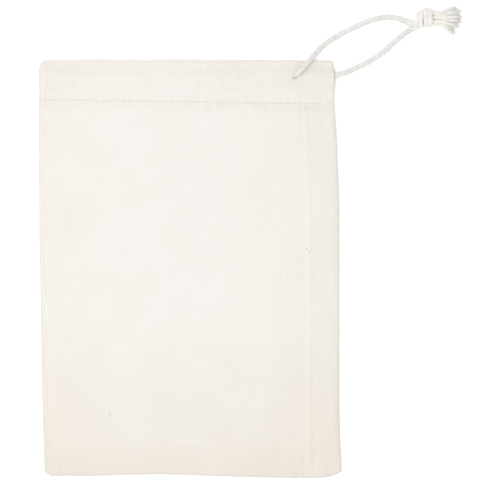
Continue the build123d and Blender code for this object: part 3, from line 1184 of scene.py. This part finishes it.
front_run_line = [in_casing(x) for x in spaced(RUN_START, 41.0, RUN_STEP)] + [front_line[0]]
back_end = mouth_corner.x - 1.0
back_run_line = [in_casing(x, BACK_RUN_HEIGHT) for x in spaced(RUN_START, back_end, RUN_STEP)]
bend_top, bend_low = front_run_line[0], back_run_line[0]
half = (bend_top.z - bend_low.z) / 2
bend_line = []
for i in range(BEND_STEPS + 1):
    turn = math.pi * i / BEND_STEPS
    x = bend_top.x - half * math.sin(turn)
    bend_line.append(Vector((x, bend_top.y, bend_low.z + half + half * math.cos(turn))))
front_run = laid_tube("front_run_cord", [front_run_line], cord_section, LAY_LENGTH)
left_bend = laid_tube("left_bend_cord", [bend_line], cord_section, LAY_LENGTH)
back_run = laid_tube("back_run_cord", [back_run_line], cord_section, LAY_LENGTH)
print("cord in the casing, mm:", round(line_length(front_run_line + bend_line + back_run_line)))

# %% [markdown]
# ## Loose threads and flecks
# Unbleached muslin keeps specks of cotton seed, and the hole in the casing has no binding,
# so its cut threads stand up round the cord. Both are small real pieces.

# %% Frayed threads round the hole
HOLE_THREADS = 60
hair_section = lobed_section("hair_section", 0.13, 1, 0.0, 6)


def hole_threads(seed):
    """Cut threads that lean out of the hole."""
    rng = random.Random(seed)
    hairs = []
    for i in range(HOLE_THREADS):
        turn = math.tau * i / HOLE_THREADS + rng.uniform(-0.15, 0.15)
        out = Vector((math.cos(turn), math.sin(turn), 0))
        start = HOLE + Vector((out.x * 1.3, out.y * 1.05, 0))
        start.z = outside(start.x, start.y) + 0.1
        lean = out * rng.uniform(-0.9, 0.3) + Vector((0, 0, 0.3))
        hairs.append(wander(rng, start, lean, rng.uniform(0.6, 1.6), 0.35))
    return hairs


hole_fray = laid_tube("hole_frayed_threads", hole_threads(31), hair_section, FIBRE_LAY, step=0.4)
print("threads at the hole:", HOLE_THREADS)

# %% Specks of cotton seed
SPECKS = [  # x, y and half the length of the clear ones
    (50.0, 8.3, 0.62),
    (50.7, 7.0, 0.3),
    (-34.2, -61.8, 0.42),
    (-52.4, 9.0, 0.3),
    (38.4, -3.8, 0.28),
]
STREWN_SPECKS = 9
speck_section = lobed_section("speck_section", 0.34, 2, 0.3, 6)


def speck_lines(seed):
    """Short bits of seed coat, with a few fainter ones strewn about."""
    rng = random.Random(seed)
    strewn = [
        (rng.uniform(-58, 58), rng.uniform(-82, 66), rng.uniform(0.05, 0.1))
        for _ in range(STREWN_SPECKS)
    ]
    lines = []
    for x, y, size in SPECKS + strewn:
        turn = rng.uniform(0, math.pi)
        aside = Vector((math.cos(turn), math.sin(turn), 0)) * size
        middle = Vector((x, y, outside(x, y) - 0.03))
        lines.append([middle - aside, middle, middle + aside])
    return lines


def speck_shape(n, part):
    """Thick in the middle and thin at both ends."""
    return 1 - 1.2 * abs(part - 0.5)


specks = laid_tube("seed_specks", speck_lines(41), speck_section, FIBRE_LAY, speck_shape, step=0.15)
print("specks:", len(SPECKS), "clear and", STREWN_SPECKS, "faint")

# %% [markdown]
# ## The muslin's finish
# Muslin is a loose plain weave of uneven threads. Close up, it is bumps and gaps, two or
# three threads to the millimetre, with slubs where a thread is thick. From further off it
# is a soft cream that is never quite even. The weave reads the piece's own UV map, so it
# follows the cloth, and the point attribute warms the colour near the seams and darkens the cloth's
# edges with painted shade.

# %% Node helpers
def new_material(name):
    """A material, its node tree, and its shader."""
    material = bpy.data.materials.new(name)
    material.use_nodes = True
    tree = material.node_tree
    return material, tree, tree.nodes["Principled BSDF"]


def add(tree, kind, **settings):
    """A node with its settings; a name with in_ sets a socket's own value."""
    node = tree.nodes.new(kind)
    for key, value in settings.items():
        if key.startswith("in_"):
            node.inputs[key[3:].replace("_", " ")].default_value = value
        else:
            setattr(node, key, value)
    return node


def stretched_noise(tree, source, scale, detail=2.0, rough=0.55):
    """Noise on a vector, with its own scale for each direction."""
    mapping = add(tree, "ShaderNodeMapping")
    mapping.inputs["Scale"].default_value = scale
    tree.links.new(source, mapping.inputs["Vector"])
    cloud = add(tree, "ShaderNodeTexNoise", in_Scale=1.0, in_Detail=detail, in_Roughness=rough)
    tree.links.new(mapping.outputs["Vector"], cloud.inputs["Vector"])
    return cloud.outputs["Fac"]


def blend_numbers(tree, a, b, share):
    """Two numbers mixed, with this share of the second."""
    mix = add(tree, "ShaderNodeMix", data_type="FLOAT")
    mix.inputs[0].default_value = share
    tree.links.new(a, mix.inputs[2])
    tree.links.new(b, mix.inputs[3])
    return mix.outputs[0]


def two_colours(tree, factor, low, high, start=0.0, end=1.0):
    """A ramp from one colour at start to another at end."""
    ramp = add(tree, "ShaderNodeValToRGB")
    ramp.color_ramp.elements[0].position = start
    ramp.color_ramp.elements[1].position = end
    ramp.color_ramp.elements[0].color = (*low, 1)
    ramp.color_ramp.elements[1].color = (*high, 1)
    tree.links.new(factor, ramp.inputs["Fac"])
    return ramp.outputs["Color"]


def multiply(tree, a, b, share):
    """Two colours multiplied, with a share of the second."""
    mix = add(tree, "ShaderNodeMix", data_type="RGBA", blend_type="MULTIPLY")
    mix.inputs[0].default_value = share
    tree.links.new(a, mix.inputs[6])
    tree.links.new(b, mix.inputs[7])
    return mix.outputs[2]


# %% [markdown]
# In a plain weave each thread goes over one crossing thread and under the next. With one
# sine for the warp and one for the weft, the size of each sine is a round thread, and their
# product changes sign from crossing to crossing, which says which thread is on top. The
# higher of the two threads is the cloth's surface, and where both are low there is a gap.

# %% Plain weave as a height
THREADS_PER_MM = 2.6
UNEVEN = 0.5  # how far threads wander, in threads
CROSSING = 0.45  # how much higher the thread on top is


def number(tree, operation, *values):
    """A math node; a value is a number or another node's output."""
    node = add(tree, "ShaderNodeMath", operation=operation)
    for socket, value in zip(node.inputs, values):
        if isinstance(value, (int, float)):
            socket.default_value = value
        else:
            tree.links.new(value, socket)
    return node.outputs[0]


def plain_weave(tree, cloth_map):
    """Height of a plain weave with uneven threads."""
    wander_by = add(tree, "ShaderNodeTexNoise", in_Scale=UV_SCALE * 0.6, in_Detail=2.0)
    tree.links.new(cloth_map, wander_by.inputs["Vector"])
    shift = add(tree, "ShaderNodeVectorMath", operation="MULTIPLY_ADD")
    amount = UNEVEN / (UV_SCALE * THREADS_PER_MM)
    shift.inputs[1].default_value = (amount, amount, 0)
    tree.links.new(wander_by.outputs["Color"], shift.inputs[0])
    tree.links.new(cloth_map, shift.inputs[2])
    turns = add(tree, "ShaderNodeVectorMath", operation="SCALE")
    turns.inputs["Scale"].default_value = UV_SCALE * THREADS_PER_MM * math.pi
    tree.links.new(shift.outputs[0], turns.inputs[0])
    parts = add(tree, "ShaderNodeSeparateXYZ")
    tree.links.new(turns.outputs[0], parts.inputs[0])
    warp, weft = (number(tree, "SINE", parts.outputs[axis]) for axis in "XY")
    over = number(tree, "MULTIPLY", warp, weft)
    warp_top = number(tree, "MULTIPLY_ADD", over, CROSSING, number(tree, "ABSOLUTE", warp))
    weft_top = number(tree, "MULTIPLY_ADD", over, -CROSSING, number(tree, "ABSOLUTE", weft))
    return number(tree, "MAXIMUM", warp_top, weft_top)


print("threads to the inch:", round(THREADS_PER_MM * 25.4))

# %% [markdown]
# The colour starts from the cloth's tone: cream inside, warm near the seams and darker at
# its edges, where the shade is painted. Four patterns are multiplied onto it: the weave,
# whose gaps get painted shade, slubs along both ways of thread, lint, and soft clouds about
# two centimetres wide. The first three also give relief.

# %% Muslin
CREAM = (0.885, 0.868, 0.838)
WARM = (0.838, 0.782, 0.714)
# the colour of the painted shade along the cloth's edges
EDGE_SHADE = (0.70, 0.69, 0.65)
PLAIN = (1, 1, 1)
BRIGHT = (1.02, 1.02, 1.02)
SLUB_FINE, SLUB_LONG = UV_SCALE * 1.6, UV_SCALE * 0.09  # changes across and along a thread
LINT = UV_SCALE * 9
CLOUD = UV_SCALE * 0.045


def muslin():
    """Washed, unbleached plain weave."""
    material, tree, shader = new_material("washed_muslin")
    cloth_map = add(tree, "ShaderNodeUVMap", uv_map="threads").outputs["UV"]
    weave = plain_weave(tree, cloth_map)
    slub_warp = stretched_noise(tree, cloth_map, (SLUB_FINE, SLUB_LONG, 1))
    slub_weft = stretched_noise(tree, cloth_map, (SLUB_LONG, SLUB_FINE, 1))
    slubs = blend_numbers(tree, slub_warp, slub_weft, 0.5)
    lint = stretched_noise(tree, cloth_map, (LINT, LINT, 1), 3.0, 0.7)
    cloud = stretched_noise(tree, cloth_map, (CLOUD, CLOUD, 1), 3.0)

    tone = add(tree, "ShaderNodeAttribute", attribute_name="tone").outputs["Fac"]
    # the tone's ramp runs from cream to warm, then to the painted shade of the edges
    base = two_colours(tree, number(tree, "DIVIDE", tone, EDGE_SHADE_TONE), CREAM, EDGE_SHADE)
    base.node.color_ramp.elements.new(1 / EDGE_SHADE_TONE).color = (*WARM, 1)
    for pattern, dark, light, start, end, share in (
        # painted shade: the weave is darker where it is low, in its gaps and along the flanks of its
        # threads
        (weave, (0.76, 0.74, 0.70), PLAIN, 0.35, 1.0, 0.62),
        (slubs, (0.955, 0.95, 0.94), BRIGHT, 0.36, 0.66, 0.55),
        (lint, (0.94, 0.935, 0.92), BRIGHT, 0.35, 0.65, 0.5),
        (cloud, (0.985, 0.98, 0.97), PLAIN, 0.35, 0.65, 0.7),
    ):
        base = multiply(tree, base, two_colours(tree, pattern, dark, light, start, end), share)
    tree.links.new(base, shader.inputs["Base Color"])

    relief = number(tree, "MULTIPLY_ADD", slubs, 1.1, number(tree, "MULTIPLY_ADD", lint, 0.35, weave))
    bump = add(tree, "ShaderNodeBump", in_Strength=0.55, in_Distance=0.00009)
    tree.links.new(relief, bump.inputs["Height"])
    tree.links.new(bump.outputs["Normal"], shader.inputs["Normal"])
    shader.inputs["Roughness"].default_value = 0.92
    shader.inputs["Specular IOR Level"].default_value = 0.18
    shader.inputs["Sheen Weight"].default_value = 0.12
    shader.inputs["Sheen Roughness"].default_value = 0.6
    return material


muslin_finish = muslin()
print("muslin nodes:", len(muslin_finish.node_tree.nodes))

# %% [markdown]
# ## Cord, thread and seed
# The cord is the same cotton, a touch greyer, with fine fibres that follow its strands.
# Sewing thread is a little shinier. Seed coat is a dull brown.

# %% Finishes for the small pieces
PATCHES = 320  # patches to the metre


def cotton(name, low, high, scale, rough, bump_depth):
    """A fibrous finish: fine fibres along the strands, and larger patches in space.

    scale is fibres to the millimetre round the strand, and rough is the shader's roughness.
    """
    material, tree, shader = new_material(name)
    strand_map = add(tree, "ShaderNodeUVMap", uv_map="lay").outputs["UV"]
    fibres = stretched_noise(tree, strand_map, (scale * 0.07, scale, 1), 4.0, 0.7)
    place = add(tree, "ShaderNodeTexCoord").outputs["Object"]
    patches = stretched_noise(tree, place, (PATCHES, PATCHES, PATCHES), 2.0)
    both = blend_numbers(tree, fibres, patches, 0.4)
    tree.links.new(two_colours(tree, both, low, high, 0.32, 0.66), shader.inputs["Base Color"])
    bump = add(tree, "ShaderNodeBump", in_Strength=0.6, in_Distance=bump_depth)
    tree.links.new(fibres, bump.inputs["Height"])
    tree.links.new(bump.outputs["Normal"], shader.inputs["Normal"])
    shader.inputs["Roughness"].default_value = rough
    shader.inputs["Specular IOR Level"].default_value = 0.2
    shader.inputs["Sheen Weight"].default_value = 0.15
    return material


cord_finish = cotton("twisted_cotton_cord", (0.66, 0.65, 0.62), (0.86, 0.85, 0.82), 7.0, 0.9, 0.00014)
knot_finish = cotton("worked_cotton_cord", (0.79, 0.765, 0.73), (0.93, 0.91, 0.875), 7.0, 0.9, 0.00016)
ply_finish = cotton("opened_cotton_ply", (0.86, 0.83, 0.78), (0.96, 0.94, 0.90), 8.0, 0.92, 0.00012)
fibre_finish = cotton("loose_cotton_fibre", (0.86, 0.85, 0.82), (0.92, 0.91, 0.88), 3.0, 0.95, 0.0)
thread_finish = cotton("sewing_thread", (0.78, 0.76, 0.71), (0.90, 0.88, 0.84), 12.0, 0.75, 0.00005)
seed_finish = cotton("cotton_seed_coat", (0.16, 0.11, 0.07), (0.36, 0.27, 0.19), 6.0, 0.85, 0.00004)
print("small finishes:", cord_finish.name, thread_finish.name, seed_finish.name)

# %% [markdown]
# ## What moves with what
# Pulling the knot draws the cord out, and the casing's left end comes along it towards the
# exits. So on the real bag the cloth bends between the bag and that end: nothing moves right
# of the line from the sewn top corner to the folded bottom corner, and the folded top corner
# moves all the way. The legs swing as a loop about their two exits and grow longer with the
# knot. Here only those three corners are found. The cloth, the stitched row, the hidden cord
# and the legs get their finishes and stay where they lie; the seam allowances and seam
# threads are hung on the bag's body, and the knot and its frayed ends on the knot's body.

# %% Directions of the gather
top_left = Vector((left_side(ROUGH_MOUTH), ROUGH_MOUTH, 0))
top_right = Vector((right_side(ROUGH_MOUTH), 88, 0))
low_left = Vector((left_side(-88), ROUGH_BOTTOM, 0))


def dress(piece, finishes, nodes):
    """Gives a piece its finishes, and hides the frame's parts that it stands for."""
    numbers = [p.material_index for p in piece.data.polygons]
    piece.data.materials.clear()
    for finish in finishes:
        piece.data.materials.append(finish)
    piece.data.polygons.foreach_set("material_index", numbers)
    if nodes:
        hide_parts(*nodes)


def with_cloth(piece, slot, finish, *nodes):
    """A piece of the bag, given its finish and baked where it lies."""
    dress(piece, [finish], nodes)
    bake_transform(piece)


def on_body(piece, body, slot, finishes, *nodes):
    """A piece that rides on one body."""
    dress(piece, finishes, nodes)
    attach(piece, body)


# %% Cloth, thread and hidden cord
with_cloth(front_panel, "muslin", muslin_finish, "front_panel", "left_fold")
with_cloth(back_panel, "muslin", muslin_finish, "back_panel")
with_cloth(front_casing, "muslin", muslin_finish, "front_casing", "casing_fold")
with_cloth(back_casing, "muslin", muslin_finish, "back_casing")
with_cloth(front_row, "thread", thread_finish, "front_casing_stitches")
with_cloth(back_row, "thread", thread_finish, "back_casing_stitches")
with_cloth(front_run, "cord", cord_finish, "drawstring_front_run")
with_cloth(back_run, "cord", cord_finish, "drawstring_back_run")
with_cloth(left_bend, "cord", cord_finish, "drawstring_left_bend")
with_cloth(hole_fray, "muslin", fibre_finish)
with_cloth(specks, "muslin", seed_finish)
on_body(right_allowance, "bag", "muslin", [muslin_finish], "right_seam_allowance")
on_body(bottom_allowance, "bag", "muslin", [muslin_finish], "bottom_seam_allowance")
on_body(right_seam, "bag", "thread", [thread_finish], "right_seam_stitches")
on_body(bottom_seam, "bag", "thread", [thread_finish], "bottom_seam_stitches")
on_body(right_lock, "bag", "thread", [thread_finish], "right_overlock")
on_body(bottom_lock, "bag", "thread", [thread_finish], "bottom_overlock")
on_body(side_tack, "bag", "thread", [thread_finish], "side_gap_tack")
print("finishes of the front panel:", [m.name for m in front_panel.data.materials])


# %% The loop and the knot
def with_pull(piece, node):
    """A leg, given its finishes and baked where it lies."""
    dress(piece, [cord_finish, fibre_finish], [node])
    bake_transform(piece)


with_pull(front_leg, "drawstring_front_leg")
with_pull(side_leg, "drawstring_side_leg")
on_body(knot, "knot", "cord", [knot_finish, fibre_finish], "end_knot")
on_body(front_end, "knot", "cord", [ply_finish, fibre_finish], "front_frayed_end")
on_body(side_end, "knot", "cord", [ply_finish, fibre_finish], "side_frayed_end")
print("legs blend over, mm:", round((front_line[-1] - front_line[0]).length), "and",
      round((side_line[-1] - side_line[0]).length))

# %% [markdown]
# ## Taking the sections away
# The lobed curves that gave the cords, plies, fibres, threads, hairs and specks their
# sections are not needed any more, so they are taken away.

# %% Sections taken away
sections = (cord_section, ply_section, fibre_section, thread_section, hair_section, speck_section)
for section in sections:
    bpy.data.objects.remove(section)
print("sections taken away:", len(sections))

# %% [markdown]
# ## Table and light
# The sack lies on a white table that glows a little, as a light table does, under one broad
# soft light from above and an even glow from all round. The shadows stay faint, and the
# cloth is still shaped by the light from above.

# %% Table
table_bm = bmesh.new()
bmesh.ops.create_grid(table_bm, x_segments=1, y_segments=1, size=2)
table_mesh = bpy.data.meshes.new("table_top")
table_bm.to_mesh(table_mesh)
table_bm.free()
table = bpy.data.objects.new("table_top", table_mesh)
bpy.context.scene.collection.objects.link(table)
white, _, white_shader = new_material("white_table")
white_shader.inputs["Base Color"].default_value = (0.93, 0.93, 0.93, 1)
white_shader.inputs["Roughness"].default_value = 0.7
white_shader.inputs["Specular IOR Level"].default_value = 0.1
white_shader.inputs["Emission Color"].default_value = (1, 1, 1, 1)
white_shader.inputs["Emission Strength"].default_value = 0.13
table_mesh.materials.append(white)
print("table finish:", white.name)

# %% Lights
def soft_light(name, place, aim, size, power):
    """A round softbox at place, turned towards aim."""
    light = bpy.data.lights.new(name, "AREA")
    light.shape = "DISK"
    light.size = size
    light.energy = power
    lamp = bpy.data.objects.new(name, light)
    lamp.location = place
    lamp.rotation_euler = (Vector(aim) - Vector(place)).to_track_quat("-Z", "Y").to_euler()
    bpy.context.scene.collection.objects.link(lamp)


soft_light("overhead_softbox", (-0.25, 0.02, 1.1), (0, 0, 0), 0.7, 4.9)
GLOW = 0.8
world = bpy.data.worlds.new("studio_glow")
world.use_nodes = True
world.node_tree.nodes["Background"].inputs["Color"].default_value = (1, 1, 1, 1)
world.node_tree.nodes["Background"].inputs["Strength"].default_value = GLOW
bpy.context.scene.world = world
bpy.context.scene.view_settings.view_transform = "Standard"
print("glow from all round:", GLOW)
